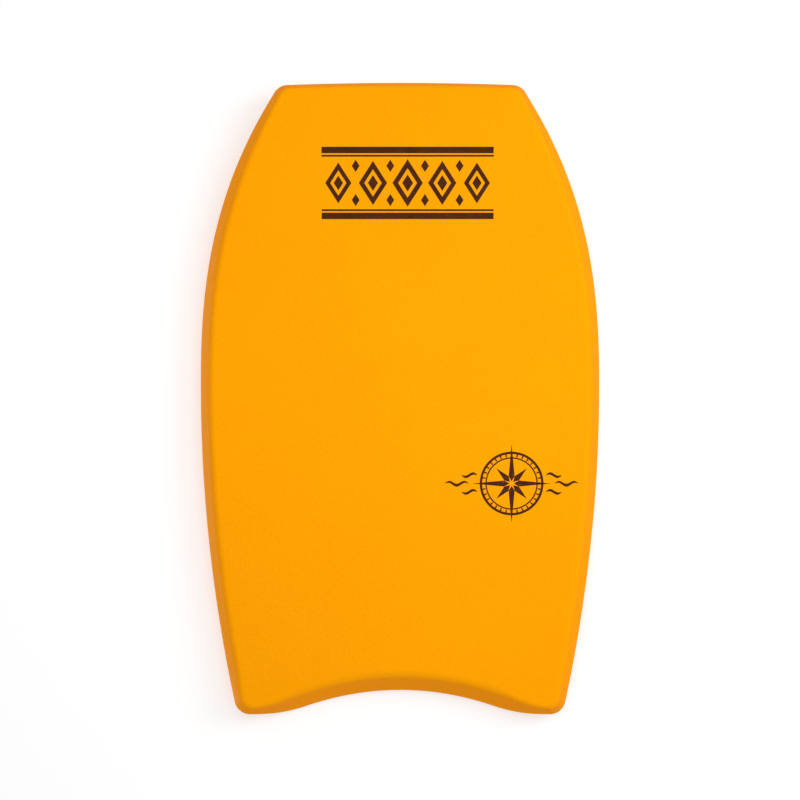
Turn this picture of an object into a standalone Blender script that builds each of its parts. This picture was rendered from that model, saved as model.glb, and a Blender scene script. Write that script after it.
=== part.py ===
"""A 33 inch foam bodyboard: a bead-foam core wrapped in foam skins, with a plastic slick underneath.

Metres, +Z up. The nose points along +Y and the board lies on its slick, with the floor at z = 0.
Only the right half is worked out, column by column round the edge, and Mirror makes the left half.
Every skin lies between two nested copies of the same surface, so neighbours meet without touching.
"""

import math

import bmesh
import bpy
from mathutils import Vector

# Plan of the board, along its widest line
LENGTH = 0.838
WIDTH = 0.530
NOSE_WIDTH = 0.315        # where the rails would cross the nose line, before the corners are rounded
TAIL_WIDTH = 0.433        # the same at the tail
WIDE_POINT = 0.400        # from the nose back to the widest place
NOSE_FULLNESS = 2.5       # power of the curve from the widest place to the nose
TAIL_FULLNESS = 2.0       # power of the curve from the widest place to the tail
NOSE_BOW = 0.003          # how far the middle of the nose stands in front of its corners
NOSE_CORNER = 0.021       # radius in plan
TAIL_CORNER = 0.021       # radius in plan

# Crescent tail
CRESCENT_DEPTH = 0.0305
CRESCENT_HALF = 0.178     # from the middle out to where a flat peg starts
SHOULDER = 0.052          # length of the soft bend that runs into the peg

# Side view
THICKNESS = 0.050         # floor to deck at the middle
NOSE_THICKNESS = 0.040
TAIL_THICKNESS = 0.045
NOSE_TAPER = 0.250        # length over which the nose thins
TAIL_TAPER = 0.250        # length over which the tail thins
TAIL_FLAT = 0.095         # length of even thickness behind that, round the crescent
NOSE_LIFT = 0.025         # rise of the bottom at the nose tip
ROCKER = 0.335            # length over which the bottom rises

# Edge of the rails: two slanted faces that meet halfway up
DECK_CHINE = 0.016        # upper slanted face, measured in from the widest line
SLICK_CHINE = 0.013       # lower slanted face
RAIL_MEET = 0.50          # height at which they meet, as a share of the foam's height
DECK_ROUND = 0.0105       # radius between the upper face and the deck
CHINE_ROUND = 0.006       # radius between the lower face and the bottom
APEX_ROUND = 0.005        # radius where the two faces meet
RUN_OUT = 0.125           # length over which the slanted faces fade in behind the nose

# Edge of the nose: steep, rolled over at the deck
NOSE_ROLL = 0.008
NOSE_MEET = 0.40
NOSE_ROUND = 0.008
END_CHINE = 0.002         # short slanted face under the nose and tail
END_ROUND = 0.003

# Edge of the tail: a wide bevel that faces the deck, narrow at the pegs
TAIL_BEVEL = 0.025
TAIL_MEET = 0.14
TAIL_ROUND = 0.016
PEG_BEVEL = 0.012
PEG_MEET = 0.45
PEG_RUN = 0.070           # length over which the bevel narrows to the peg, along the rail and the tail
CHINE_END = 0.030         # length over which the lower slanted face fades in at the tail

# Skins
SHEET = 0.004             # foam sheet of the deck skin and the rail strips
BACKING = 0.003           # foam sheet between the core and the slick
SLICK = 0.0006            # plastic sheet
SLICK_SIDE = 0.0205       # from the widest line in to the slick, along the rails
SLICK_SIDE_NOSE = 0.013   # the same at the corners of the nose
SLICK_END = 0.0055        # from the nose and tail in to the slick
SLICK_CORNER = 0.002      # radius of the slick's corners
GAP = 0.0003              # clearance between a sheet and what it is bonded to
SEAM = 0.0004             # joint between the edges of two sheets
SEAM_DROP = 0.001         # from the end of the deck's rounding down to the joint with the rail strip

# How finely the half edge is divided
NOSE_STEPS = 8
NOSE_CORNER_STEPS = 5
RAIL_STEPS = 20
TAIL_CORNER_STEPS = 6
TAIL_STEPS = 12
CHINE_STEPS = 3
APEX_STEPS = 4
DECK_STEPS = 4

# Columns round the half edge, counted from the middle of the nose
NOSE_END = NOSE_STEPS
RAIL_START = NOSE_END + 1
ROW_START = RAIL_START + NOSE_CORNER_STEPS
RAIL_END = ROW_START + RAIL_STEPS + TAIL_CORNER_STEPS
TAIL_START = RAIL_END + 1
COLUMNS = TAIL_START + TAIL_STEPS

# Stations up the edge, counted from the bottom
SEAM_LOW = CHINE_STEPS + APEX_STEPS + 2
SEAM_HIGH = SEAM_LOW + 1
DECK_EDGE = SEAM_HIGH + DECK_STEPS + 1
FOAM_EDGE = -1            # edge of the backing sheet, one joint inside station 0
SLICK_EDGE = -2           # edge of the slick

FOAM_LEVEL = SLICK + GAP  # height of the foam above the floor
SPINE = 0.045             # inset of the line that the edge's columns point to
SPINE_CORNER = 0.004      # its radius at the corners
TINY = 0.0005             # smallest radius of an inner bend, and the step for slopes


def clear_scene():
    for item in list(bpy.data.objects):
        bpy.data.objects.remove(item, do_unlink=True)


def smooth(value):
    """Ease from 0 to 1, and stay there."""
    value = min(max(value, 0.0), 1.0)
    return value * value * (3 - 2 * value)


def rocker(y):
    """Rise of the bottom at y."""
    forward = max(y - (LENGTH / 2 - ROCKER), 0.0)
    return NOSE_LIFT * (forward / ROCKER) ** 2


def thickness(y):
    """Thickness of the whole board at y."""
    to_nose = max(y - (LENGTH / 2 - NOSE_TAPER), 0.0) / NOSE_TAPER
    to_tail = (TAIL_FLAT + TAIL_TAPER - LENGTH / 2 - y) / TAIL_TAPER
    nose_loss = (THICKNESS - NOSE_THICKNESS) * to_nose ** 2
    tail_loss = (THICKNESS - TAIL_THICKNESS) * smooth(to_tail)
    return THICKNESS - nose_loss - tail_loss


def half_width(y):
    """Half width of the widest line, before the corners are rounded."""
    ahead = y - (LENGTH / 2 - WIDE_POINT)
    if ahead > 0:
        return WIDTH / 2 - (WIDTH - NOSE_WIDTH) / 2 * (ahead / WIDE_POINT) ** NOSE_FULLNESS
    return WIDTH / 2 - (WIDTH - TAIL_WIDTH) / 2 * (-ahead / (LENGTH - WIDE_POINT)) ** TAIL_FULLNESS


def nose_line(x):
    return LENGTH / 2 - NOSE_BOW * (2 * x / NOSE_WIDTH) ** 2


def tail_line(x):
    """The crescent: a parabola, a soft shoulder and a flat peg."""
    shoulder_start = CRESCENT_HALF - SHOULDER
    if x < shoulder_start:
        rise = CRESCENT_DEPTH * (1 - x * x / (shoulder_start * CRESCENT_HALF))
    else:
        rest = max(CRESCENT_HALF - x, 0.0)
        rise = CRESCENT_DEPTH * rest * rest / (CRESCENT_HALF * SHOULDER)
    return rise - LENGTH / 2


def rail_point(y, inset):
    """Point of the right rail at y, moved inset metres inwards at right angles to the rail."""
    slope = (half_width(y + TINY) - half_width(y - TINY)) / (2 * TINY)
    along = Vector((slope, 1)).normalized()
    return Vector((half_width(y), y)) + inset * Vector((-along.y, along.x))


def crossing(low, high, side, line):
    """Place along the rail where it crosses a line over the nose or tail."""
    for _ in range(40):
        middle = (low + high) / 2
        point = rail_point(middle, side(middle))
        if point.y < line(point.x):
            low = middle
        else:
            high = middle
    return middle


def fillet(before, corner, after, radius, steps):
    """Arc that rounds the corner on the way from before to after."""
    back = (before - corner).normalized()
    ahead = (after - corner).normalized()
    half = back.angle(ahead) / 2
    centre = corner + (back + ahead).normalized() * radius / math.sin(half)
    start = corner + back * radius / math.tan(half) - centre
    end = corner + ahead * radius / math.tan(half) - centre
    turn = math.pi - 2 * half
    arc = []
    for step in range(steps + 1):
        share = step / steps
        swept = start * math.sin((1 - share) * turn) + end * math.sin(share * turn)
        arc.append(centre + swept / math.sin(turn))
    return arc


def spread(start, end, steps, line):
    """Evenly spaced points along a line over the nose or tail."""
    places = [start + (end - start) * step / steps for step in range(steps + 1)]
    return [Vector((x, line(x))) for x in places]


def half_outline(side, end, nose_radius, tail_radius):
    """Right half of an outline drawn inside the widest line, one point for each column.

    side gives its inset from the rail at y, and end is its inset from the nose and tail.
    """
    def nose(x):
        return nose_line(x) - end

    def tail(x):
        return tail_line(x) + end

    nose_place = crossing(0.0, LENGTH / 2 + SPINE, side, nose)
    tail_place = crossing(-LENGTH / 2 - SPINE, 0.0, side, tail)
    nose_corner = rail_point(nose_place, side(nose_place))
    tail_corner = rail_point(tail_place, side(tail_place))
    beside_nose = Vector((nose_corner.x - TINY, nose(nose_corner.x - TINY)))
    behind_nose = rail_point(nose_place - TINY, side(nose_place))
    before_tail = rail_point(tail_place + TINY, side(tail_place))
    beside_tail = Vector((tail_corner.x - TINY, tail(tail_corner.x - TINY)))
    nose_arc = fillet(beside_nose, nose_corner, behind_nose, nose_radius, NOSE_CORNER_STEPS)
    tail_arc = fillet(before_tail, tail_corner, beside_tail, tail_radius, TAIL_CORNER_STEPS)
    front = nose_place - nose_corner.y + nose_arc[-1].y
    back = tail_place - tail_corner.y + tail_arc[0].y
    places = [front + (back - front) * step / RAIL_STEPS for step in range(1, RAIL_STEPS)]
    rail = [rail_point(y, side(y)) for y in places]
    nose_run = spread(0.0, nose_arc[0].x - SEAM, NOSE_STEPS, nose)
    tail_run = spread(tail_arc[-1].x - SEAM, 0.0, TAIL_STEPS, tail)
    return nose_run + nose_arc + rail + tail_arc + tail_run


def mix(column, point, rail, nose, peg, tail, rail_run=PEG_RUN):
    """Size of the edge at a column, blended from those of the rail, nose, peg and tail."""
    if column < RAIL_START:
        return nose
    if column > RAIL_END:
        return peg + (tail - peg) * smooth((CRESCENT_HALF + SHOULDER / 2 - point.x) / PEG_RUN)
    behind_nose = max(LENGTH / 2 - NOSE_BOW - point.y, 0.0)
    front = nose + (rail - nose) * math.sqrt(min(behind_nose / RUN_OUT, 1.0))
    return peg + (front - peg) * smooth((point.y + LENGTH / 2) / rail_run)


def slanted(foot, top, inset):
    """Straight face of the edge moved inwards, as its normal and its distance along it."""
    along = (top - foot).normalized()
    normal = Vector((along.y, -along.x))
    return normal, normal.dot(foot) + inset


def level_point(face, height):
    normal, distance = face
    return Vector(((distance - normal.y * height) / normal.x, height))


def meeting_point(face, other):
    normal, distance = face
    second, reach = other
    size = normal.x * second.y - normal.y * second.x
    x = (distance * second.y - reach * normal.y) / size
    return Vector((x, (normal.x * reach - second.x * distance) / size))


def edge_section(column, point, height, lift, wall, drop):
    """Inset and height of each station, with the bottom lifted, the faces moved in, the deck dropped."""
    low_run = mix(column, point, SLICK_CHINE, END_CHINE, END_CHINE, END_CHINE, CHINE_END)
    high_run = mix(column, point, DECK_CHINE, NOSE_ROLL, PEG_BEVEL, TAIL_BEVEL)
    meet = mix(column, point, RAIL_MEET, NOSE_MEET, PEG_MEET, TAIL_MEET) * height
    low_round = mix(column, point, CHINE_ROUND, END_ROUND, END_ROUND, END_ROUND, CHINE_END)
    high_round = mix(column, point, DECK_ROUND, NOSE_ROUND, NOSE_ROUND, TAIL_ROUND)

    apex = Vector((0, meet))
    foot = Vector((low_run, 0))
    brow = Vector((high_run, height))
    tip = fillet(foot, apex, brow, APEX_ROUND, APEX_STEPS)
    shift = Vector((min(place.x for place in tip), 0))
    lower = slanted(foot - shift, apex - shift, wall)
    upper = slanted(apex - shift, brow - shift, wall)

    low_corner = level_point(lower, lift)
    high_corner = level_point(upper, height - drop)
    side_corner = meeting_point(lower, upper)
    inboard = Vector((SPINE, 0))
    low_round = max(low_round - lift, TINY)
    side_round = max(APEX_ROUND - wall, TINY)
    high_round = max(high_round - drop, TINY)
    low_arc = fillet(low_corner + inboard, low_corner, side_corner, low_round, CHINE_STEPS)
    side_arc = fillet(low_corner, side_corner, high_corner, side_round, APEX_STEPS)
    high_arc = fillet(side_corner, high_corner, high_corner + inboard, high_round, DECK_STEPS)
    down = (side_corner - high_corner).normalized()
    seam_high = high_arc[0] + down * SEAM_DROP
    seam_low = seam_high + down * SEAM
    return low_arc + side_arc + [seam_low, seam_high] + high_arc


def place(plan, height):
    return Vector((plan.x, plan.y, rocker(plan.y) + height))


def last_row():
    """Last column along the rail whose row across the board stays ahead of the crescent."""
    edge = half_outline(lambda y: 0.0, 0.0, NOSE_CORNER, TAIL_CORNER)
    return max(column for column in range(ROW_START, RAIL_END) if edge[column].y > edge[-1].y + SPINE)


def add_middle(points, station):
    """Points on the centre line, opposite the ends of the rows that run along the rail."""
    for column in range(ROW_START, last_row() + 1):
        edge = points[column, station]
        points[column, station, "middle"] = Vector((0, edge.y, edge.z))


def nested_points(edge, spine, lift, wall, drop):
    """All points of one nested copy of the board's right half, by column and station.

    The edge is as high as the deck is at the place where the two meet.
    """
    points = {}
    for column, (outer, inner) in enumerate(zip(edge, spine)):
        deck_place = outer
        for _ in range(3):
            height = thickness(deck_place.y) - FOAM_LEVEL
            section = edge_section(column, outer, height, lift, wall, drop)
            deck_place = outer.lerp(inner, section[-1].x / SPINE)
        for station, (inset, level) in enumerate(section):
            points[column, station] = place(outer.lerp(inner, inset / SPINE), FOAM_LEVEL + level)
        inset, level = section[0]
        points[column, FOAM_EDGE] = place(outer.lerp(inner, (inset + SEAM) / SPINE), FOAM_LEVEL + level)
    for station in (FOAM_EDGE, 0, DECK_EDGE):
        add_middle(points, station)
    return points


def slick_side(y):
    """Inset of the slick from the rail, narrower towards the nose."""
    behind_nose = min(max((LENGTH / 2 - y) / RUN_OUT, 0.0), 1.0)
    return SLICK_SIDE_NOSE + (SLICK_SIDE - SLICK_SIDE_NOSE) * behind_nose


def slick_points(height):
    """One face of the slick."""
    outline = half_outline(slick_side, SLICK_END, SLICK_CORNER, SLICK_CORNER)
    points = {(column, SLICK_EDGE): place(spot, height) for column, spot in enumerate(outline)}
    add_middle(points, SLICK_EDGE)
    return points


def wall_faces(columns, stations):
    """Faces of the edge between the given columns and stations.

    The cells are twisted, so each is cut along the same diagonal in every nested copy.
    """
    faces = []
    for column in range(*columns):
        for station in range(*stations):
            near, far = (column, station), (column + 1, station + 1)
            faces.append([near, (column, station + 1), far])
            faces.append([near, far, (column + 1, station)])
    return faces


def flat_faces(station):
    """Faces that look up and fill the half loop of a station, one row for each step along the rail."""
    row_end = last_row()
    nose = [(ROW_START, station, "middle")] + [(column, station) for column in range(ROW_START, -1, -1)]
    tail = [(row_end, station, "middle")] + [(column, station) for column in range(COLUMNS, row_end - 1, -1)]
    faces = [nose, tail]
    for column in range(ROW_START, row_end):
        faces.append([(column + 1, station), (column, station),
                      (column, station, "middle"), (column + 1, station, "middle")])
    return faces


def turned_over(faces):
    return [list(reversed(face)) for face in faces]


def build_surface(bm, faces, points):
    """Make the faces, and return the vertices by name."""
    names = sorted({name for face in faces for name in face}, key=str)
    vertices = {name: bm.verts.new(points[name]) for name in names}
    for face in faces:
        bm.faces.new([vertices[name] for name in face])
    return vertices


def add_thickness(bm, vertices, points):
    """Close a surface with its copy on other points and a rim, left open on the centre line."""
    outer_faces = list(bm.faces)
    rim = [loop for face in outer_faces for loop in face.loops if loop.edge.is_boundary]
    twins = {vertices[name]: bm.verts.new(points[name]) for name in vertices}
    for face in outer_faces:
        bm.faces.new([twins[vert] for vert in reversed(face.verts)])
    for loop in rim:
        start, end = loop.vert, loop.link_loop_next.vert
        if abs(start.co.x) > TINY or abs(end.co.x) > TINY:
            bm.faces.new([end, start, twins[start], twins[end]])


def new_piece(name, faces, outer, inner, material, collection, side=None):
    """Turn a surface into an object: a closed half is mirrored, or kept on one side only."""
    bm = bmesh.new()
    vertices = build_surface(bm, faces, outer)
    if inner:
        add_thickness(bm, vertices, inner)
    if side == "left":
        bmesh.ops.scale(bm, vec=(-1, 1, 1), verts=bm.verts)
        bmesh.ops.reverse_faces(bm, faces=bm.faces)
    mesh = bpy.data.meshes.new(name)
    bm.to_mesh(mesh)
    bm.free()
    mesh.materials.append(material)
    mesh.shade_smooth()
    mesh.set_sharp_from_angle(angle=math.radians(35))
    piece = bpy.data.objects.new(name, mesh)
    collection.objects.link(piece)
    if side is None:
        mirror = piece.modifiers.new("other half", "MIRROR")
        mirror.merge_threshold = 0.00005
    return piece


def finish(name, colour, roughness):
    material = bpy.data.materials.new(name)
    material.use_nodes = True
    shader = material.node_tree.nodes["Principled BSDF"]
    shader.inputs["Base Color"].default_value = (*colour, 1)
    shader.inputs["Roughness"].default_value = roughness
    shader.inputs["Metallic"].default_value = 0
    return material


def make_core(points, collection):
    """Bead-foam blank, cut to the board's shape less its skins."""
    faces = turned_over(flat_faces(0)) + wall_faces((0, COLUMNS), (0, DECK_EDGE)) + flat_faces(DECK_EDGE)
    new_piece("bead_core", faces, points, None, finish("bead_foam", (0.86, 0.86, 0.84), 0.9), collection)


def make_deck_skin(outer, inner, collection):
    """Deck sheet, which also wraps down over the nose and the tail between the rail strips."""
    faces = flat_faces(DECK_EDGE)
    faces += wall_faces((0, NOSE_END), (0, SEAM_HIGH))
    faces += wall_faces((TAIL_START, COLUMNS), (0, SEAM_HIGH))
    faces += wall_faces((0, COLUMNS), (SEAM_HIGH, DECK_EDGE))
    new_piece("deck_skin", faces, outer, inner, finish("deck_foam", (0.98, 0.41, 0.003), 0.55), collection)


def make_rail_strips(outer, inner, collection):
    """Strips bent round the chined sides, from the corner of the nose to the peg."""
    faces = wall_faces((RAIL_START, RAIL_END), (0, SEAM_LOW))
    material = finish("rail_foam", (0.96, 0.37, 0.004), 0.5)
    new_piece("rail_strip_right", faces, outer, inner, material, collection, side="right")
    new_piece("rail_strip_left", faces, outer, inner, material.copy(), collection, side="left")


def make_backing(outer, inner, collection):
    """Foam sheet under the core, whose edge shows all round the slick."""
    faces = turned_over(flat_faces(FOAM_EDGE))
    foam = finish("backing_foam", (0.96, 0.40, 0.004), 0.6)
    new_piece("bottom_backing", faces, outer, inner, foam, collection)


def make_slick(collection):
    """Hard plastic sheet that rides on the water."""
    faces = turned_over(flat_faces(SLICK_EDGE))
    white = finish("slick_plastic", (0.82, 0.81, 0.84), 0.3)
    new_piece("slick_sheet", faces, slick_points(0.0), slick_points(SLICK), white, collection)


def main():
    clear_scene()
    board = bpy.data.collections.new("bodyboard")
    bpy.context.scene.collection.children.link(board)
    edge = half_outline(lambda y: 0.0, 0.0, NOSE_CORNER, TAIL_CORNER)
    spine = half_outline(lambda y: SPINE, SPINE, SPINE_CORNER, SPINE_CORNER)
    outer = nested_points(edge, spine, 0.0, 0.0, 0.0)
    inner = nested_points(edge, spine, BACKING, SHEET, SHEET)
    core = nested_points(edge, spine, BACKING + GAP, SHEET + GAP, SHEET + GAP)
    make_core(core, board)
    make_deck_skin(outer, inner, board)
    make_rail_strips(outer, inner, board)
    make_backing(outer, inner, board)
    make_slick(board)


main()
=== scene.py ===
# %% [markdown]
# # A foam bodyboard, finished in cells
#
# A bodyboard is a short wave-riding board made like a sandwich. In the middle is a blank of fused
# foam beads. A sheet of closed-cell foam is hot-laminated over its top and wrapped down over the
# nose and the tail, strips of the same foam cover the two sides, a thinner sheet covers the bottom,
# and a smooth plastic sheet, the slick, is bonded under that.
#
# The solids of these layers already exist, at their real size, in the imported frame. This script
# dresses them: the flat facets of each visible layer become smooth curves, the foam sheets get soft
# lips, every layer gets a finish of its own, and a printed design is laid on the deck. Every length
# is in metres, the nose points along +Y, and the board lies on its slick at z = 0.
#
# We start by loading that frame, and keep its box, so that we can see later how little the dressed
# board has outgrown the solids.

# %% Load the frame
import math

import bmesh
import bpy
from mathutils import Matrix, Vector
from mathutils.bvhtree import BVHTree


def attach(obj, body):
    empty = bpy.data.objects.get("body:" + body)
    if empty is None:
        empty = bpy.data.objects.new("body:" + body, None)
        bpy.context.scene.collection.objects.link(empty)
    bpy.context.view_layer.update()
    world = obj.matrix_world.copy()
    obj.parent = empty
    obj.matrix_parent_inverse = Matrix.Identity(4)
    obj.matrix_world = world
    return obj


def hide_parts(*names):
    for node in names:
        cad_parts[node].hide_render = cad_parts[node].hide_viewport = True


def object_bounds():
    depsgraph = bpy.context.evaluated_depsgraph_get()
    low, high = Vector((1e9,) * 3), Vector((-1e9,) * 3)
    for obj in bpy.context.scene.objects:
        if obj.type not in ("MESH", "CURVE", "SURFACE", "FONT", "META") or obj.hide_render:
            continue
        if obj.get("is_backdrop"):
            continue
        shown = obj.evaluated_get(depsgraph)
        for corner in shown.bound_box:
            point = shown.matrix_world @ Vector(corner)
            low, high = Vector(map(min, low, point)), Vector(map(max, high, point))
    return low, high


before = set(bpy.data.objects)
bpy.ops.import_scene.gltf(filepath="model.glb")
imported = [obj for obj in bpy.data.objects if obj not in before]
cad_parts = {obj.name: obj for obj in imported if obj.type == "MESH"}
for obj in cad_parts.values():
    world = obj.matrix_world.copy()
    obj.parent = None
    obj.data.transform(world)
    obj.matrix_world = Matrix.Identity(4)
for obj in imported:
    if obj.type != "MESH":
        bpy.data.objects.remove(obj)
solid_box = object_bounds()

tail_y, nose_y = solid_box[0].y, solid_box[1].y
print("layers:", ", ".join(sorted(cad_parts)))
print(f"board: {nose_y - tail_y:.3f} m long, {solid_box[1].x - solid_box[0].x:.3f} m wide")

# %% [markdown]
# ## Islands
#
# A layer comes from the frame as loose triangles. Welding their shared corners gives one skin. That
# skin has a front, a back and a cut edge all round, which we call the rim, and between them run
# sharp edges. To work on them one by one, the skin is split into islands: faces that run on into
# each other without a sharp edge. The two largest islands are the front and the back of the sheet,
# and what is left is the rim. Further on the skin gets narrow faces that carry a mark, and a marked
# face never shares an island with an unmarked one.

# %% Weld a layer and find its islands
WELD = 0.000002           # corners closer than this are the same corner
SHARP = math.radians(38)  # where two faces turn by more than this, their edge is sharp


def welded(node):
    """A layer's solid as one closed skin."""
    shape = bmesh.new()
    shape.from_mesh(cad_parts[node].data)
    bmesh.ops.remove_doubles(shape, verts=shape.verts[:], dist=WELD)
    return shape


def islands(shape):
    """Groups of faces that run on into each other without a sharp edge, the largest first."""
    shape.normal_update()
    left, groups = dict.fromkeys(shape.faces), []
    while left:
        group, border = [], [left.popitem()[0]]
        while border:
            face = border.pop()
            group.append(face)
            for edge in face.edges:
                if edge.calc_face_angle(0) < SHARP:
                    near = [other for other in edge.link_faces
                            if other in left and other.material_index == face.material_index]
                    border += near
                    for other in near:
                        del left[other]
        groups.append(group)
    return sorted(groups, key=lambda group: -sum(face.calc_area() for face in group))


# %% [markdown]
# ## Foam sheets that meet
#
# The solids keep a clearance of 0.4 mm where the edges of two sheets meet, so that they never
# touch. On the real board those edges are pressed together while they are hot. We close the joint
# for the eye: the rim of each sheet grows a little towards its neighbour.

# %% Grow a rim
def grow_rim(shape, reach):
    """Move the sheet's cut edge outwards."""
    rim = sum(islands(shape)[2:], [])
    pushes = {}
    for face in rim:
        for vert in face.verts:
            pushes.setdefault(vert, []).append(face.normal)
    for vert, normals in pushes.items():
        away = sum(normals, Vector()).normalized()
        vert.co += away * reach
    return len(rim)


# %% [markdown]
# ## Soft lips
#
# The cut edge of a foam sheet is never razor sharp: the knife and the heat leave a small round lip,
# and that lip catches the light and shows where two sheets meet. A bevel that only takes the sharp
# edges cuts a narrow slanted face along each of them and leaves the board's own soft bends alone.
# The new faces get a mark, so that the next step knows them.
#
# A bevel goes wrong where two corners lie closer together than two lips are wide, because the faces
# between them turn inside out. So such corners are joined first.

# %% Cut the lips
LIP = 1                   # the mark of a lip's faces


def soften(shape, width):
    """Cut a narrow lip along every sharp edge."""
    bmesh.ops.remove_doubles(shape, verts=shape.verts[:], dist=2 * width)
    sharp = [edge for edge in shape.edges if edge.calc_face_angle(0) > SHARP]
    bmesh.ops.bevel(shape, geom=sharp, offset=width, offset_type="OFFSET", segments=1, profile=0.5,
                    affect="EDGES", clamp_overlap=False, material=LIP)
    bmesh.ops.triangulate(shape, faces=shape.faces[:])


# %% [markdown]
# ## Rounding out the facets
#
# A solid is made of flat facets, some of them 40 mm long, and on a board every outline is a long
# easy curve. A subdivision surface would smooth it, but it also pulls the surface in and drags the
# wide flat deck into the narrow bend round its edge.
#
# There is a gentler way. We know where the surface passes through each corner, and also which way
# it faces there: the average of the faces around the corner, in which a large face has the larger
# say, so that the flat deck stays flat right up to its bend. Between two corners we can then draw
# a curve that leaves both of them square to those directions. Each triangle is cut into four, and
# the new corner on each edge moves out to the middle of that curve.
#
# Where two islands meet, the surface faces two ways at once. The curve is then held square to both,
# so the meeting line becomes smooth and stays where it is. A lip is so narrow that all its edges
# have to follow the lines on its two sides, also the slanting ones across it.

# %% Find the middle of each curve
def corner_ways(shape):
    """The island of each face, and for each corner the way that each island faces there."""
    home, ways = {}, {vert: {} for vert in shape.verts}
    for number, island in enumerate(islands(shape)):
        for face in island:
            home[face] = number
            for vert in face.verts:
                ways[vert][number] = ways[vert].get(number, Vector()) + face.normal * face.calc_area()
    return home, ways


def heading(step, ways):
    """The step from one corner to the next, held square to the ways the surface faces there."""
    if len(ways) == 1:
        way = ways[0].normalized()
        return step - way * step.dot(way)
    line = ways[0].cross(ways[1]).normalized()
    return line * step.dot(line) if len(ways) == 2 else step


def middle(edge, home, ways):
    """The middle of the curve between the two ends of an edge."""
    one, two = edge.verts
    sides = sorted({home[face] for face in edge.link_faces})
    across_lip = len(sides) == 1 and edge.link_faces[0].material_index == LIP
    leave, arrive = [heading(two.co - one.co, list(ways[vert].values()) if across_lip
                             else [ways[vert][side] for side in sides]) for vert in edge.verts]
    place = (one.co + two.co) / 2 + (leave - arrive) / 8
    place.z = max(place.z, solid_box[0].z)            # the board still lies flat
    return place


# %% [markdown]
# ## Cutting the triangles
#
# With a middle for each edge, every triangle is cut into four small ones: one in the middle and one
# at each corner. Here and there a long thin triangle has no room for the curves on its edges, and a
# small one would fold over. We see that by its direction, which turns far away from that of the
# whole triangle. There the edges stay straight. That can trouble the neighbours, so they are looked
# at again until nothing folds.

# %% Cut each triangle into four
MOST_TURN = math.radians(40)      # how far a small triangle may turn away from the one it is cut from


def quarters(face):
    """The small triangles of a face, each as corners and edges whose middles it joins."""
    return [[loop.edge for loop in face.loops]] + [
        [loop.vert, loop.edge, loop.link_loop_prev.edge] for loop in face.loops]


def turned(face, places):
    """Whether one of the small triangles turns away too far."""
    for quarter in quarters(face):
        first, second, third = [places[part] for part in quarter]
        facing = (second - first).cross(third - first)
        if facing.dot(face.normal) < math.cos(MOST_TURN) * facing.length:
            return True
    return False


def rounded_out(shape):
    """A skin that is four times as fine, with its new corners on curves."""
    home, ways = corner_ways(shape)
    places = {vert: vert.co.copy() for vert in shape.verts}
    places.update({edge: middle(edge, home, ways) for edge in shape.edges})
    straight, watched = {}, shape.faces[:]
    while watched:
        folding = [face for face in watched if turned(face, places)]
        again = dict.fromkeys(edge for face in folding for edge in face.edges if edge not in straight)
        straight.update(again)
        for edge in again:
            places[edge] = (edge.verts[0].co + edge.verts[1].co) / 2
        watched = list(dict.fromkeys(face for edge in again for face in edge.link_faces))
    finer = bmesh.new()
    made = {part: finer.verts.new(place) for part, place in places.items()}
    for face in shape.faces:
        for quarter in quarters(face):
            finer.faces.new([made[part] for part in quarter]).material_index = face.material_index
    shape.free()
    return finer, len(straight)


# %% [markdown]
# ## From a solid to a finished layer
#
# Now the steps come together: weld, close the joints, cut the lips, round out twice. At the end a
# Weighted Normal modifier sets the shading in the same spirit as the curves: bends and lips are
# shaded as smooth ones, and the large faces beside them stay flat. The finished piece rides on the
# board's one body and takes the place of its plain solid.

# %% Dress a layer
ROUNDS = 2                # how often each triangle is cut into four


def settle(piece):
    """Turn a piece and its modifiers into one plain mesh."""
    graph = bpy.context.evaluated_depsgraph_get()
    finished = bpy.data.meshes.new_from_object(piece.evaluated_get(graph))
    finished.name = piece.name
    piece.modifiers.clear()
    piece.data = finished
    return piece


def dress_layer(node, name, reach, lip):
    """Make the finer piece that is shown in place of a layer's solid."""
    shape = welded(node)
    rim_faces = grow_rim(shape, reach)
    if lip:
        soften(shape, lip)
    kept_straight = []
    for _ in range(ROUNDS):
        shape, straight = rounded_out(shape)
        kept_straight.append(straight)
    mesh = bpy.data.meshes.new(name)
    shape.to_mesh(mesh)
    shape.free()
    mesh.shade_smooth()
    layer = bpy.data.objects.new(name, mesh)
    bpy.context.scene.collection.objects.link(layer)
    shading = layer.modifiers.new("flat faces stay flat", "WEIGHTED_NORMAL")
    shading.weight = 90
    settle(layer)
    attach(layer, "root")
    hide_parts(node)
    print(f"{name}: {rim_faces} rim faces, {len(layer.data.polygons)} faces when done, "
          f"edges kept straight {kept_straight}")
    return layer


# %% [markdown]
# ## The foam layers and the slick
#
# The four foam pieces get a lip of 0.4 mm. The slick is hard, only 0.6 mm thick and cut with a
# blade, so its edge stays sharp.

# %% Dress the five visible layers
JOINT_REACH = 0.00018     # each side of a joint grows by this, which leaves a hair line
FOAM_LIP = 0.0004

deck = dress_layer("deck_skin", "deck_foam", JOINT_REACH, FOAM_LIP)
rails = [dress_layer("rail_strip_right", "rail_foam_right", JOINT_REACH, FOAM_LIP),
         dress_layer("rail_strip_left", "rail_foam_left", JOINT_REACH, FOAM_LIP)]
backing = dress_layer("bottom_backing", "backing_foam", JOINT_REACH, FOAM_LIP)
slick = dress_layer("slick_sheet", "slick_bottom", 0, 0)

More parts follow.
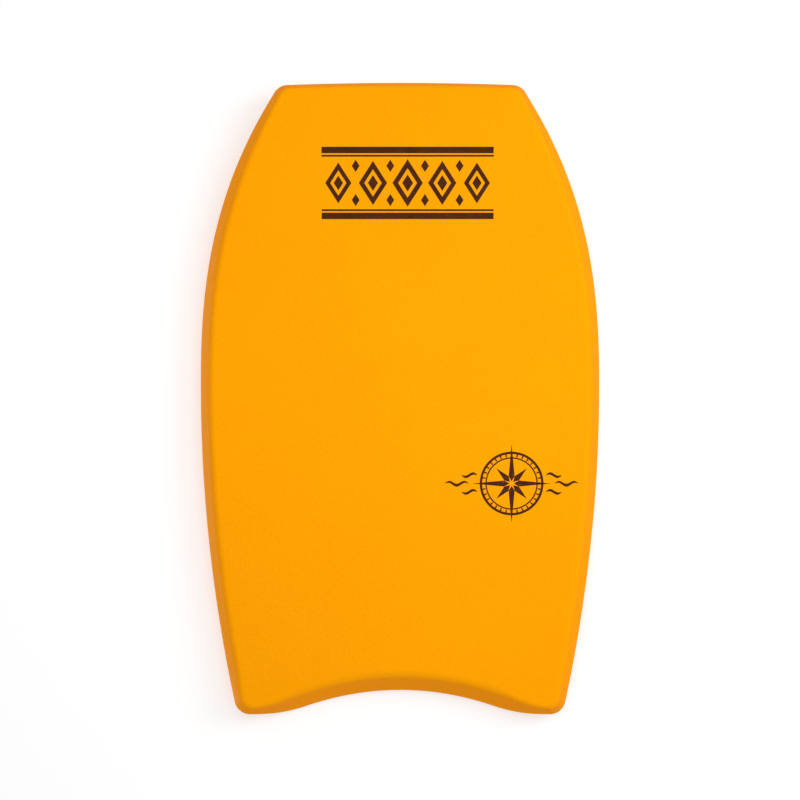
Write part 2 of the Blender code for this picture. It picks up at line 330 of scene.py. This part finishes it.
# %% [markdown]
# ## Drawing with flat shapes
#
# Boards of this kind carry a one-colour print that is pressed onto the deck foam with heat. It has
# two parts: a bold band near the nose, and a lighter line drawing at the rider's right hip. We draw
# our own: an old weaver's band of diamonds and stripes, and a wind rose with ripples beside it.
#
# A print could be painted in the deck's material. As a thin film of real ink it keeps crisp edges
# however close we look, and it can have a gloss of its own. So the drawing is first made flat, out
# of two kinds of shape: a filled outline, and a line that follows the inside of an outline. An
# inset makes that line, because it keeps the same width round every corner.

# %% Fill an outline, or line it
def filled(drawing, outline):
    """A face with the given corners."""
    return drawing.faces.new([drawing.verts.new((x, y, 0)) for x, y in outline])


def lined(drawing, outline, stroke):
    """A line of even width along the inside of an outline."""
    face = filled(drawing, outline)
    face.normal_update()
    bmesh.ops.inset_individual(drawing, faces=[face], thickness=stroke, use_even_offset=True)
    bmesh.ops.delete(drawing, geom=[face], context="FACES")


def polar(radius, degrees):
    """The point at an angle from the drawing's +X axis."""
    return radius * math.cos(math.radians(degrees)), radius * math.sin(math.radians(degrees))


def circle(radius, steps=96):
    """The corners of a circle."""
    return [polar(radius, 360 * step / steps) for step in range(steps)]


def stripe(drawing, length, height, middle_y):
    """A level bar, centred left to right."""
    low, high = middle_y - height / 2, middle_y + height / 2
    filled(drawing, [(-length / 2, low), (length / 2, low), (length / 2, high), (-length / 2, high)])


# %% [markdown]
# ## A tree that repeats
#
# The diamonds of the band and the short ticks of the wind rose are one shape repeated by a rule.
# Geometry Nodes say such a rule once. The next cell has what both trees need: a way to start a
# tree with named inputs, and a way to run it and keep the result as a plain mesh. An input is set
# by its identifier, before the object is evaluated for the first time.

# %% Start a tree, and run it
def start_tree(name, sizes):
    """An empty tree whose named inputs have the given values."""
    tree = bpy.data.node_groups.new(name, "GeometryNodeTree")
    kinds = {int: "NodeSocketInt", float: "NodeSocketFloat"}
    for label, value in sizes.items():
        socket = tree.interface.new_socket(label, in_out="INPUT", socket_type=kinds[type(value)])
        socket.default_value = value
    tree.interface.new_socket("Ink", in_out="INPUT", socket_type="NodeSocketMaterial")
    tree.interface.new_socket("Geometry", in_out="OUTPUT", socket_type="NodeSocketGeometry")
    return tree


def add_node(tree, kind, inputs=None, **settings):
    """A node with its settings, and its inputs linked or set by name or number."""
    node = tree.nodes.new(kind)
    for setting, value in settings.items():
        setattr(node, setting, value)
    for label, value in (inputs or {}).items():
        if isinstance(value, bpy.types.NodeSocket):
            tree.links.new(value, node.inputs[label])
        else:
            node.inputs[label].default_value = value
    return node


def reckon(tree, operation, first, second=0.0):
    """One step of arithmetic."""
    return add_node(tree, "ShaderNodeMath", {0: first, 1: second}, operation=operation).outputs[0]


def run_tree(tree, name, sizes, ink):
    """Run the tree on an empty object, and return what it makes as a plain mesh."""
    holder = bpy.data.objects.new(name, bpy.data.meshes.new(name))
    bpy.context.scene.collection.objects.link(holder)
    grower = holder.modifiers.new(tree.name, "NODES")
    grower.node_group = tree
    for socket in tree.interface.items_tree:
        if socket.in_out == "INPUT":
            grower[socket.identifier] = sizes.get(socket.name, ink)
    mesh = settle(holder).data
    bpy.data.objects.remove(holder)
    print(f"{name}: {len(mesh.polygons)} faces")
    return mesh


# %% [markdown]
# ## Ink
#
# The ink is a very dark brown. Heat pressing leaves it smoother than the foam, but the foam's grain
# still shows through, and a few pinholes stay open. Its material is made here, because the trees
# hand it to what they make, and it gets its nodes further down with the other finishes.

# %% A name for the ink
ink = bpy.data.materials.new("printed_ink")

# %% [markdown]
# ## The diamonds of the band
#
# Each diamond is a ring round a solid core. A circle with four corners is a diamond. Extruding its
# face by nothing and shrinking the new top makes the ring, once that top is deleted. The diamonds
# stand on the points of a line, whose middle has to lie at the origin.

# %% Make a diamond, hollow it, and line up the points
def four_corners(tree, width, height):
    """A solid diamond."""
    face = add_node(tree, "GeometryNodeMeshCircle", {"Vertices": 4, "Radius": 0.5}, fill_type="NGON")
    size = add_node(tree, "ShaderNodeCombineXYZ", {"X": width, "Y": height, "Z": 1.0})
    return add_node(tree, "GeometryNodeTransform",
                    {"Geometry": face.outputs["Mesh"], "Scale": size.outputs[0]}).outputs[0]


def hollowed(tree, face, share):
    """The face with its middle taken out."""
    grown = add_node(tree, "GeometryNodeExtrudeMesh", {"Mesh": face, "Offset Scale": 0.0}, mode="FACES")
    shrunk = add_node(tree, "GeometryNodeScaleElements",
                      {"Geometry": grown.outputs["Mesh"], "Selection": grown.outputs["Top"],
                       "Scale": reckon(tree, "SUBTRACT", 1.0, share)})
    return add_node(tree, "GeometryNodeDeleteGeometry",
                    {"Geometry": shrunk.outputs[0], "Selection": grown.outputs["Top"]},
                    domain="FACE").outputs[0]


def row_of_points(tree, count, pitch):
    """Points along X, with their middle at the origin."""
    step = add_node(tree, "ShaderNodeCombineXYZ", {"X": pitch})
    line = add_node(tree, "GeometryNodeMeshLine", {"Count": count, "Offset": step.outputs[0]})
    length = reckon(tree, "MULTIPLY", reckon(tree, "SUBTRACT", count, 1.0), pitch)
    back = add_node(tree, "ShaderNodeCombineXYZ", {"X": reckon(tree, "MULTIPLY", length, -0.5)})
    return add_node(tree, "GeometryNodeTransform",
                    {"Geometry": line.outputs[0], "Translation": back.outputs[0]}).outputs[0]


# %% [markdown]
# ## The whole row
#
# A diamond shrinks with its distance from the middle of the row, counted in diamonds. Small solid
# ones fill the gaps between them, above and below.

# %% Build the diamond row
diamond_sizes = {"Count": 5, "Pitch": 0.0455, "Width": 0.040, "Height": 0.062,
                 "Loss": 0.07, "Ring": 0.38, "Core": 0.36, "Spot": 0.26}
SPOT_RISE = 0.36          # from the middle out to the small ones, as a share of the height


def diamond_tree(sizes):
    """A row of ringed diamonds that get smaller towards its ends."""
    tree = start_tree("diamond row", sizes)
    given = tree.nodes.new("NodeGroupInput").outputs
    face = four_corners(tree, given["Width"], given["Height"])
    core = four_corners(tree, reckon(tree, "MULTIPLY", given["Width"], given["Core"]),
                        reckon(tree, "MULTIPLY", given["Height"], given["Core"]))
    motif = add_node(tree, "GeometryNodeJoinGeometry")
    tree.links.new(core, motif.inputs[0])
    tree.links.new(hollowed(tree, face, given["Ring"]), motif.inputs[0])

    place = add_node(tree, "GeometryNodeInputIndex").outputs[0]
    fewer = reckon(tree, "SUBTRACT", given["Count"], 1.0)
    halfway = reckon(tree, "MULTIPLY", fewer, 0.5)
    steps = reckon(tree, "ABSOLUTE", reckon(tree, "SUBTRACT", place, halfway))
    size = reckon(tree, "SUBTRACT", 1.0, reckon(tree, "MULTIPLY", steps, given["Loss"]))
    diamonds = add_node(tree, "GeometryNodeInstanceOnPoints",
                        {"Points": row_of_points(tree, given["Count"], given["Pitch"]),
                         "Instance": motif.outputs[0], "Scale": size})

    spot = four_corners(tree, reckon(tree, "MULTIPLY", given["Width"], given["Spot"]),
                        reckon(tree, "MULTIPLY", given["Height"], given["Spot"]))
    row = row_of_points(tree, fewer, given["Pitch"])
    both = add_node(tree, "GeometryNodeJoinGeometry")
    for side in (-1.0, 1.0):
        shift = add_node(tree, "ShaderNodeCombineXYZ",
                         {"Y": reckon(tree, "MULTIPLY", given["Height"], SPOT_RISE * side)})
        level = add_node(tree, "GeometryNodeTransform",
                         {"Geometry": row, "Translation": shift.outputs[0]})
        spots = add_node(tree, "GeometryNodeInstanceOnPoints",
                         {"Points": level.outputs[0], "Instance": spot})
        tree.links.new(spots.outputs[0], both.inputs[0])
    tree.links.new(diamonds.outputs[0], both.inputs[0])
    real = add_node(tree, "GeometryNodeRealizeInstances", {"Geometry": both.outputs[0]})
    inked = add_node(tree, "GeometryNodeSetMaterial",
                     {"Geometry": real.outputs[0], "Material": given["Ink"]})
    add_node(tree, "NodeGroupOutput", {"Geometry": inked.outputs[0]})
    return tree


diamonds = run_tree(diamond_tree(diamond_sizes), "diamonds", diamond_sizes, ink)

# %% [markdown]
# ## The ticks of the wind rose
#
# A wind rose is read against a ring of ticks. The second tree stands a short bar on every point of
# a circle and turns each one to point away from the centre.

# %% Build the ring of ticks
ROSE = 0.042              # outer radius of the ring
tick_sizes = {"Count": 32, "Radius": 0.0370, "Length": 0.0038, "Width": 0.0018}


def tick_tree(sizes):
    """Short bars that point away from the centre of a circle."""
    tree = start_tree("ring of ticks", sizes)
    given = tree.nodes.new("NodeGroupInput").outputs
    ring = add_node(tree, "GeometryNodeMeshCircle",
                    {"Vertices": given["Count"], "Radius": given["Radius"]}, fill_type="NONE")
    bar = add_node(tree, "GeometryNodeMeshGrid",
                   {"Size X": given["Length"], "Size Y": given["Width"], "Vertices X": 2, "Vertices Y": 2})
    share = reckon(tree, "DIVIDE", add_node(tree, "GeometryNodeInputIndex").outputs[0], given["Count"])
    turn = add_node(tree, "ShaderNodeCombineXYZ", {"Z": reckon(tree, "MULTIPLY", share, math.tau)})
    ticks = add_node(tree, "GeometryNodeInstanceOnPoints",
                     {"Points": ring.outputs[0], "Instance": bar.outputs[0], "Rotation": turn.outputs[0]})
    real = add_node(tree, "GeometryNodeRealizeInstances", {"Geometry": ticks.outputs[0]})
    inked = add_node(tree, "GeometryNodeSetMaterial",
                     {"Geometry": real.outputs[0], "Material": given["Ink"]})
    add_node(tree, "NodeGroupOutput", {"Geometry": inked.outputs[0]})
    return tree


ticks = run_tree(tick_tree(tick_sizes), "ticks", tick_sizes, ink)

# %% [markdown]
# ## Pressing a drawing onto the deck
#
# The deck is level from side to side but bends up towards the nose, so a flat drawing can't just
# be put on it. It is cut into narrow strips across the board, and every corner is dropped straight
# down onto the deck. Solidify then gives the film its thickness, half of it sunk into the foam and
# half of it proud, so that nothing is left hovering.

# %% Press a drawing
INK_FILM = 0.00014
STRIP = 0.006             # width of the strips that follow the bend of the deck


def surface_of(piece):
    """The piece's skin, ready to be asked what lies under a point."""
    corners = [vert.co for vert in piece.data.vertices]
    return BVHTree.FromPolygons(corners, [face.vertices for face in piece.data.polygons])


def press(drawing, name, centre_x, centre_y):
    """Lay a flat drawing on the deck as a film of ink."""
    bmesh.ops.translate(drawing, verts=drawing.verts, vec=(centre_x, centre_y, 0))
    low = min(vert.co.y for vert in drawing.verts)
    high = max(vert.co.y for vert in drawing.verts)
    cuts = math.ceil((high - low) / STRIP)
    for cut in range(1, cuts):
        everything = drawing.verts[:] + drawing.edges[:] + drawing.faces[:]
        place = (0, low + (high - low) * cut / cuts, 0)
        bmesh.ops.bisect_plane(drawing, geom=everything, plane_co=place, plane_no=(0, 1, 0))
    bmesh.ops.triangulate(drawing, faces=drawing.faces[:])
    bmesh.ops.remove_doubles(drawing, verts=drawing.verts[:], dist=WELD)
    for vert in drawing.verts:
        above = Vector((vert.co.x, vert.co.y, 1))
        vert.co.z = deck_surface.ray_cast(above, (0, 0, -1))[0].z
    mesh = bpy.data.meshes.new(name)
    drawing.to_mesh(mesh)
    drawing.free()
    mesh.materials.clear()
    mesh.materials.append(ink)
    film = bpy.data.objects.new(name, mesh)
    bpy.context.scene.collection.objects.link(film)
    thickness = film.modifiers.new("ink film", "SOLIDIFY")
    thickness.thickness = INK_FILM
    thickness.offset = 0
    settle(film)
    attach(film, "root")
    print(f"{name}: {len(film.data.polygons)} faces")
    return film


deck_surface = surface_of(deck)

# %% [markdown]
# ## The band near the nose
#
# The band is the diamond row between a heavy and a light stripe above and below. Its middle lies
# 134 mm behind the nose, and like many hand-set prints it sits a little off centre, here by 10 mm.

# %% Print the band
PRINT_OFF_CENTRE = 0.010
BAND_BEHIND_NOSE = 0.134
BAND_LENGTH = 0.226
HEAVY, LIGHT = 0.0085, 0.0024
HEAVY_OUT, LIGHT_OUT = 0.0430, 0.0355     # from the middle of the band out to each stripe

band = bmesh.new()
band.from_mesh(diamonds)
for side in (-1, 1):
    stripe(band, BAND_LENGTH, HEAVY, side * HEAVY_OUT)
    stripe(band, BAND_LENGTH, LIGHT, side * LIGHT_OUT)
press(band, "nose_print", PRINT_OFF_CENTRE, nose_y - BAND_BEHIND_NOSE)

# %% [markdown]
# ## The wind rose at the hip
#
# A wind rose has eight points, four long and four short. Each point is split down its middle, one
# half solid and one half open, as on an old sea chart. Two rings hold the ticks. On each side lie
# three ripples: thin swelling strokes that follow a sine wave and end in a point.

# %% Print the wind rose
ROSE_X = 0.147
ROSE_BEHIND_NOSE = 0.529
LONG_POINT, SHORT_POINT, WAIST, HUB = 0.0520, 0.0285, 0.0105, 0.0030
FINE_LINE, RING_LINE = 0.0018, 0.0032
INNER_RING = ROSE - 0.0075
HALF_OPEN = 22.2          # degrees from a tip to its shoulders, just short of its neighbour's
RIPPLE_GAP = 0.0045       # from the ring out to the ripples
RIPPLE_WAVE, RIPPLE_HEIGHT, RIPPLE_LINE = 0.0210, 0.0022, 0.0040
RIPPLE_STEPS = 48
RIPPLES = ((-0.011, 0.021), (0.0, 0.0315), (0.011, 0.021))        # the height and length of each


def point_of_rose(drawing, tip, degrees):
    """One point, with a solid half and an open half."""
    end = polar(tip, degrees)
    filled(drawing, [polar(HUB, degrees), polar(WAIST, degrees + HALF_OPEN), end])
    lined(drawing, [polar(HUB, degrees), end, polar(WAIST, degrees - HALF_OPEN)], FINE_LINE)


def ripple(drawing, start_x, length, middle_y, side):
    """A stroke along a sine wave, widest in the middle."""
    upper, lower = [], []
    for step in range(RIPPLE_STEPS + 1):
        share = step / RIPPLE_STEPS
        x = side * (start_x + length * share)
        wave = RIPPLE_HEIGHT * math.sin(share * length / RIPPLE_WAVE * math.tau)
        swell = RIPPLE_LINE / 2 * math.sin(math.pi * share) ** 0.6
        upper.append((x, middle_y + wave + swell))
        lower.append((x, middle_y + wave - swell))
    filled(drawing, lower + upper[-2:0:-1])


rose = bmesh.new()
rose.from_mesh(ticks)
lined(rose, circle(ROSE), RING_LINE)
lined(rose, circle(INNER_RING), FINE_LINE)
for quarter in range(4):
    point_of_rose(rose, LONG_POINT, 90 * quarter)
    point_of_rose(rose, SHORT_POINT, 90 * quarter + 45)
for side in (-1, 1):
    for level, length in RIPPLES:
        inner = math.sqrt(ROSE ** 2 - level ** 2) + RIPPLE_GAP
        ripple(rose, inner if level else LONG_POINT + RIPPLE_GAP, length, level, side)
press(rose, "hip_print", ROSE_X, nose_y - ROSE_BEHIND_NOSE)

# %% [markdown]
# ## Finishes
#
# All finishes are procedural and read Object coordinates, so a grain has the same size on every
# layer and runs on from one to the next. The helpers below add one texture, spread its values over
# a range, blend two colours with it, and stack reliefs of several sizes in one chain.

# %% Helpers for the finishes
def open_finish(material):
    """The material's tree and its shader."""
    material.use_nodes = True
    tree = material.node_tree
    return tree, tree.nodes["Principled BSDF"]


def place_on_board(tree, stretch):
    """The place in metres, squeezed so that a texture read there comes out stretched."""
    place = add_node(tree, "ShaderNodeTexCoord").outputs["Object"]
    if stretch == (1, 1, 1):
        return place
    return add_node(tree, "ShaderNodeMapping", {"Vector": place, "Scale": stretch}).outputs[0]


def grain(tree, scale, detail=2.0, stretch=(1, 1, 1)):
    """Cloudy noise, with 1 / scale metres from one cloud to the next."""
    place = place_on_board(tree, stretch)
    return add_node(tree, "ShaderNodeTexNoise",
                    {"Vector": place, "Scale": scale, "Detail": detail}).outputs[0]


def cells(tree, scale, feature="F1", stretch=(1, 1, 1)):
    """Rounded cells, 1 / scale metres across: dark in the middle, light at their walls."""
    place = place_on_board(tree, stretch)
    node = add_node(tree, "ShaderNodeTexVoronoi", {"Vector": place, "Scale": scale}, feature=feature)
    return node.outputs["Distance"]


def spread(tree, value, low, high, start=0.3, end=0.7):
    """The part of the texture between start and end, spread from low to high."""
    return add_node(tree, "ShaderNodeMapRange",
                    {"Value": value, "From Min": start, "From Max": end,
                     "To Min": low, "To Max": high}).outputs[0]


def blend(tree, share, first, second):
    """A colour between two colours or sockets."""
    node = add_node(tree, "ShaderNodeMix", data_type="RGBA")
    for number, value in ((0, share), (6, first), (7, second)):
        if isinstance(value, bpy.types.NodeSocket):
            tree.links.new(value, node.inputs[number])
        else:
            node.inputs[number].default_value = value if number == 0 else (*value, 1)
    return node.outputs[2]


def relief(tree, shader, *layers):
    """Bump the surface by several textures, each with its depth in metres, the coarsest first."""
    normal = None
    for height, depth in layers:
        bump = add_node(tree, "ShaderNodeBump", {"Height": height, "Distance": depth, "Strength": 1.0})
        if normal:
            tree.links.new(normal, bump.inputs["Normal"])
        normal = bump.outputs[0]
    tree.links.new(normal, shader.inputs["Normal"])


def coat(piece, material):
    """Give a piece its only material."""
    piece.data.materials.clear()
    piece.data.materials.append(material)


# %% [markdown]
# ## Closed-cell foam
#
# The skin of the foam is closed by heat: a fine leathery grain with tiny closed cells, a very
# slight unevenness from the rollers, and a soft sheen. Its orange is a touch deeper in some places
# than in others, at random. On top of that, the finish paints shade into the colour. Wherever the
# surface tilts away from straight up, over a bend and down a side, it gets a deeper, darker orange,
# which the finish tells by the height of the surface's direction. The sunken middle of each cell
# is darker too. The rail strips are stretched as they are bent on, so their grain is drawn out
# along the board.

# %% Finish the foam
DECK_ORANGE = (0.990, 0.360, 0.001)
DEEP_ORANGE = (0.980, 0.340, 0.001)
PALE_ORANGE = (0.995, 0.380, 0.002)
PAINTED_SIDE_SHADE = (0.995, 0.308, 0.001)       # painted shade: a deeper orange on bends and sides that tilt away from straight up
PAINTED_PORE_SHADE = (0.780, 0.205, 0.001)       # painted shade down in the hollows of the closed cells


def foam_finish(name, stretch=(1, 1, 1), roughness=0.54):
    """Heat-closed foam skin."""
    material = bpy.data.materials.new(name)
    tree, shader = open_finish(material)
    clouds = grain(tree, 9, 3, stretch)
    mottle = grain(tree, 420, 3, stretch)
    pores = cells(tree, 900, stretch=stretch)
    colour = blend(tree, spread(tree, clouds, 0.0, 1.0), DEEP_ORANGE, DECK_ORANGE)
    colour = blend(tree, spread(tree, mottle, 0.0, 0.60), colour, PALE_ORANGE)
    # painted shade: the middles of the cells, which the relief sinks, get a darker orange
    colour = blend(tree, spread(tree, pores, 0.60, 0.0, 0.08, 0.42), colour, PAINTED_PORE_SHADE)
    direction = add_node(tree, "ShaderNodeTexCoord").outputs["Normal"]
    height = add_node(tree, "ShaderNodeSeparateXYZ", {0: direction}).outputs["Z"]
    # painted shade: the more the surface tilts away from straight up, the more of the darker orange
    colour = blend(tree, spread(tree, height, 0.85, 0.0, 0.50, 0.78), colour, PAINTED_SIDE_SHADE)
    tree.links.new(colour, shader.inputs["Base Color"])
    tree.links.new(spread(tree, mottle, roughness + 0.05, roughness - 0.05), shader.inputs["Roughness"])
    shader.inputs["Specular IOR Level"].default_value = 0.02
    shader.inputs["Specular Tint"].default_value = (1.0, 0.62, 0.20, 1)
    shader.inputs["Sheen Weight"].default_value = 0.08
    shader.inputs["Sheen Roughness"].default_value = 0.45
    shader.inputs["Sheen Tint"].default_value = (1.0, 0.42, 0.02, 1)
    relief(tree, shader, (grain(tree, 14, 2, stretch), 0.0008), (grain(tree, 260, 4, stretch), 0.00045),
           (pores, 0.00025))
    return material


deck_finish = foam_finish("deck_foam_skin")
rail_finish = foam_finish("rail_foam_skin", (1, 0.35, 1), 0.50)
backing_finish = foam_finish("backing_foam_skin", roughness=0.60)
coat(deck, deck_finish)
for rail in rails:
    coat(rail, rail_finish)
coat(backing, backing_finish)

# %% [markdown]
# ## The slick
#
# The slick is extruded polyethylene: cool white, smooth and glossy, but never a mirror. It has
# faint lengthwise lines from the extrusion, an orange-peel surface, and long soft waves where it
# follows the foam below.

# %% Finish the slick
SLICK_WHITE = (0.800, 0.800, 0.835)
SLICK_SHADE = (0.765, 0.765, 0.800)


def slick_finish():
    """Glossy extruded sheet."""
    material = bpy.data.materials.new("slick_sheet_plastic")
    tree, shader = open_finish(material)
    clouds = grain(tree, 6, 3)
    lines = grain(tree, 500, 2, (1, 0.01, 1))
    tree.links.new(blend(tree, spread(tree, clouds, 0.0, 1.0), SLICK_SHADE, SLICK_WHITE),
                   shader.inputs["Base Color"])
    tree.links.new(spread(tree, grain(tree, 40, 4), 0.27, 0.37, 0.1, 0.9), shader.inputs["Roughness"])
    relief(tree, shader, (grain(tree, 8, 1), 0.0006), (grain(tree, 150, 2), 0.00003), (lines, 0.000006))
    return material


coat(slick, slick_finish())

# %% [markdown]
# ## The bead foam
#
# Nothing of the core shows on a whole board, but it still gets its own finish for whoever takes
# the board apart: polystyrene beads of about four millimetres, pressed flat against each other,
# with a fine dark line in each joint.

# %% Finish the core
def bead_finish():
    """Fused beads."""
    material = bpy.data.materials.new("fused_beads")
    tree, shader = open_finish(material)
    joints = cells(tree, 240, "DISTANCE_TO_EDGE")
    colour = blend(tree, spread(tree, joints, 0.0, 1.0, 0.0, 0.12), (0.66, 0.66, 0.64), (0.88, 0.88, 0.86))
    tree.links.new(colour, shader.inputs["Base Color"])
    tree.links.new(spread(tree, grain(tree, 900), 0.75, 0.9), shader.inputs["Roughness"])
    relief(tree, shader, (spread(tree, joints, 0.0, 1.0, 0.0, 0.25), 0.0004), (grain(tree, 900), 0.00005))
    return material


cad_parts["bead_core"].material_slots[0].material = bead_finish()

# %% [markdown]
# ## The ink's finish
#
# The ink takes the foam's fine grain and adds pinholes in which the orange shows.

# %% Finish the ink
INK_BROWN = (0.052, 0.014, 0.004)
WORN_BROWN = (0.072, 0.020, 0.006)

tree, shader = open_finish(ink)
pinholes = spread(tree, grain(tree, 1500, 2), 0.0, 0.85, 0.70, 0.76)
brown = blend(tree, spread(tree, grain(tree, 60, 3), 0.0, 1.0), INK_BROWN, WORN_BROWN)
tree.links.new(blend(tree, pinholes, brown, DECK_ORANGE), shader.inputs["Base Color"])
tree.links.new(spread(tree, grain(tree, 420, 3), 0.52, 0.42), shader.inputs["Roughness"])
shader.inputs["Specular IOR Level"].default_value = 0.04
relief(tree, shader, (grain(tree, 260, 4), 0.00005), (cells(tree, 1100), 0.00002))

# %% [markdown]
# ## Stage and light
#
# The board is shown on a plain white floor under an even white sky, which lights it from all round
# and looks plain white itself.

# %% Sky
SKY = 0.70
board_middle = (solid_box[0] + solid_box[1]) / 2


def make_sky():
    """An even white light all round, in front of a plain white background."""
    world = bpy.data.worlds.new("studio")
    world.use_nodes = True
    tree = world.node_tree
    tree.nodes.clear()
    light = add_node(tree, "ShaderNodeBackground", {"Color": (1, 1, 1, 1), "Strength": SKY})
    seen = add_node(tree, "ShaderNodeBackground", {"Color": (1, 1, 1, 1), "Strength": 1.0})
    path = add_node(tree, "ShaderNodeLightPath")
    either = add_node(tree, "ShaderNodeMixShader",
                      {0: path.outputs["Is Camera Ray"], 1: light.outputs[0], 2: seen.outputs[0]})
    add_node(tree, "ShaderNodeOutputWorld", {"Surface": either.outputs[0]})
    bpy.context.scene.world = world


make_sky()

# %% [markdown]
# ## The outline of the bottom
#
# The floor takes the board's shadow and throws light back onto the lower faces of the rails. The
# slick lies on that floor, and it should be possible to look at it too. So the floor gets a window
# under the board's bottom, and for that we need the outline of the bottom. It is the open edge that
# is left when all faces that don't look down are taken off the backing.

# %% Follow the edge of the bottom
def bottom_outline():
    """The edge of the bottom, as points in order."""
    flat = welded("bottom_backing")
    flat.normal_update()
    upper = [face for face in flat.faces if face.normal.z > -0.5]
    bmesh.ops.delete(flat, geom=upper, context="FACES")
    edge = next(edge for edge in flat.edges if edge.is_boundary)
    outline, vert = [], edge.verts[0]
    while not outline or vert is not outline[0]:
        outline.append(vert)
        vert = edge.other_vert(vert)
        edge = next(other for other in vert.link_edges if other.is_boundary and other is not edge)
    points = [vert.co[:2] for vert in outline]
    flat.free()
    return points


# %% [markdown]
# ## The floor and its window
#
# The floor is clear from behind. Through its window the light from below reaches the slick. A patch
# closes the window for the eye alone: seen from above, it is floor like the rest, in the board's
# shadow, but it holds back no light. Far out, the camera sees the floor as white as the sky, so that
# no horizon shows.

# %% Lay the floor
FLOOR_HALF = 12.0
FLOOR_LEVEL = -0.0005
SHADOW_REACH, PAPER_REACH = 0.9, 4.0      # from here out to here, the floor turns as white as the sky
PAINT, SEEN_PAINT = 0.70, 0.55            # how white it is to the light, and to the camera
NEAR_LIFT, FAR_LIFT = 0.50, 0.65          # what the camera sees on top of that, near and far


def lay_floor(name, *rings):
    """A level sheet at the floor's height, between rings of points."""
    shape, edges = bmesh.new(), []
    for points in rings:
        verts = [shape.verts.new((x, y, FLOOR_LEVEL)) for x, y in points]
        edges += [shape.edges.new((verts[place - 1], verts[place])) for place in range(len(verts))]
    bmesh.ops.triangle_fill(shape, edges=edges, use_beauty=True, normal=(0, 0, 1))
    mesh = bpy.data.meshes.new(name)
    shape.to_mesh(mesh)
    shape.free()
    sheet = bpy.data.objects.new(name, mesh)
    bpy.context.scene.collection.objects.link(sheet)
    mesh.materials.append(floor_paint)
    sheet.visible_shadow = False
    sheet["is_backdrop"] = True
    print(f"{name}: {len(mesh.polygons)} faces")
    return sheet


def floor_finish():
    """White paint that looks a little brighter than it is, and is clear from behind."""
    material = bpy.data.materials.new("floor_paint")
    tree, paint = open_finish(material)
    paint.inputs["Base Color"].default_value = (PAINT, PAINT, PAINT, 1)
    paint.inputs["Roughness"].default_value = 0.9
    paint.inputs["Specular IOR Level"].default_value = 0.0
    place = add_node(tree, "ShaderNodeNewGeometry")
    away = add_node(tree, "ShaderNodeVectorMath", {0: place.outputs["Position"]}, operation="LENGTH")
    lift = spread(tree, away.outputs["Value"], NEAR_LIFT, FAR_LIFT, SHADOW_REACH, PAPER_REACH)
    lifted = add_node(tree, "ShaderNodeBsdfPrincipled",
                      {"Base Color": (SEEN_PAINT, SEEN_PAINT, SEEN_PAINT, 1), "Roughness": 0.9,
                       "Specular IOR Level": 0.0, "Emission Color": (1, 1, 1, 1),
                       "Emission Strength": lift})
    path = add_node(tree, "ShaderNodeLightPath")
    above = add_node(tree, "ShaderNodeMixShader",
                     {0: path.outputs["Is Camera Ray"], 1: paint.outputs[0], 2: lifted.outputs[0]})
    clear = add_node(tree, "ShaderNodeBsdfTransparent")
    either = add_node(tree, "ShaderNodeMixShader",
                      {0: place.outputs["Backfacing"], 1: above.outputs[0], 2: clear.outputs[0]})
    tree.links.new(either.outputs[0], tree.nodes["Material Output"].inputs["Surface"])
    return material


floor_paint = floor_finish()
rim = [(x * FLOOR_HALF, y * FLOOR_HALF) for x, y in ((-1, -1), (1, -1), (1, 1), (-1, 1))]
window = bottom_outline()
lay_floor("floor", rim, window)
patch = lay_floor("floor_patch", window)
patch.visible_diffuse = False
patch.visible_glossy = False
patch.visible_transmission = False

# %% [markdown]
# ## Three soft lamps
#
# A lamp on the side of the right rail makes the two rails differ and shows the bends. A lamp close
# above the deck lifts its middle a little. A large one far below lights the slick evenly.
#
# A lamp's power says little by itself, so each lamp is set by the light that should reach the
# middle of the board: the brightness that it gives a white sheet of paper held facing up there, or
# facing down for the lamp below.

# %% Lamps
def make_lamp(name, direction, distance, size, brightness):
    """A square soft lamp that faces the board, and how bright it makes a level sheet of paper."""
    towards = Vector(direction).normalized()
    lamp = bpy.data.lights.new(name, "AREA")
    lamp.shape = "SQUARE"
    lamp.size = size
    lamp.energy = brightness * math.pi ** 2 * distance ** 2 / abs(towards.z)
    holder = bpy.data.objects.new(name, lamp)
    bpy.context.scene.collection.objects.link(holder)
    holder.location = board_middle + towards * distance
    holder.rotation_euler = towards.to_track_quat("Z", "Y").to_euler()
    holder.visible_camera = False
    print(f"{name}: {lamp.energy:.1f} W")


make_lamp("side", (1.15, 0.45, 1.0), 2.3, 1.1, 0.24)
make_lamp("top", (0.12, 0.14, 1.0), 0.75, 0.5, 0.24)
make_lamp("under", (-0.80, -0.05, -1.0), 5.0, 3.3, 0.41)

# %% [markdown]
# ## Camera and the two boxes
#
# The camera looks straight down on the deck from about two and a half metres, with the nose at the
# top of the frame. Last, the sizes of the boxes of the solids and of the dressed board are printed
# side by side.

# %% Camera
CAMERA_HEIGHT = 2.5
FRAME_SHARE = 0.80        # how much of the frame's height the board fills

camera = bpy.data.cameras.new("camera")
deck_level = solid_box[1].z
reach = (nose_y - tail_y) / FRAME_SHARE / 2
camera.lens = camera.sensor_width / 2 * (CAMERA_HEIGHT - deck_level) / reach
holder = bpy.data.objects.new("camera", camera)
holder.location = (board_middle.x, board_middle.y, CAMERA_HEIGHT)
bpy.context.scene.collection.objects.link(holder)
bpy.context.scene.camera = holder
bpy.context.scene.view_settings.view_transform = "Standard"
print(f"lens: {camera.lens:.0f} mm")

# %% Print the sizes of both boxes
dressed_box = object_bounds()
boxes = {"solids": [list(corner) for corner in solid_box],
         "dressed": [list(corner) for corner in dressed_box]}
for label, (low, high) in boxes.items():
    print(label, [round(1000 * (b - a), 2) for a, b in zip(low, high)], "mm")
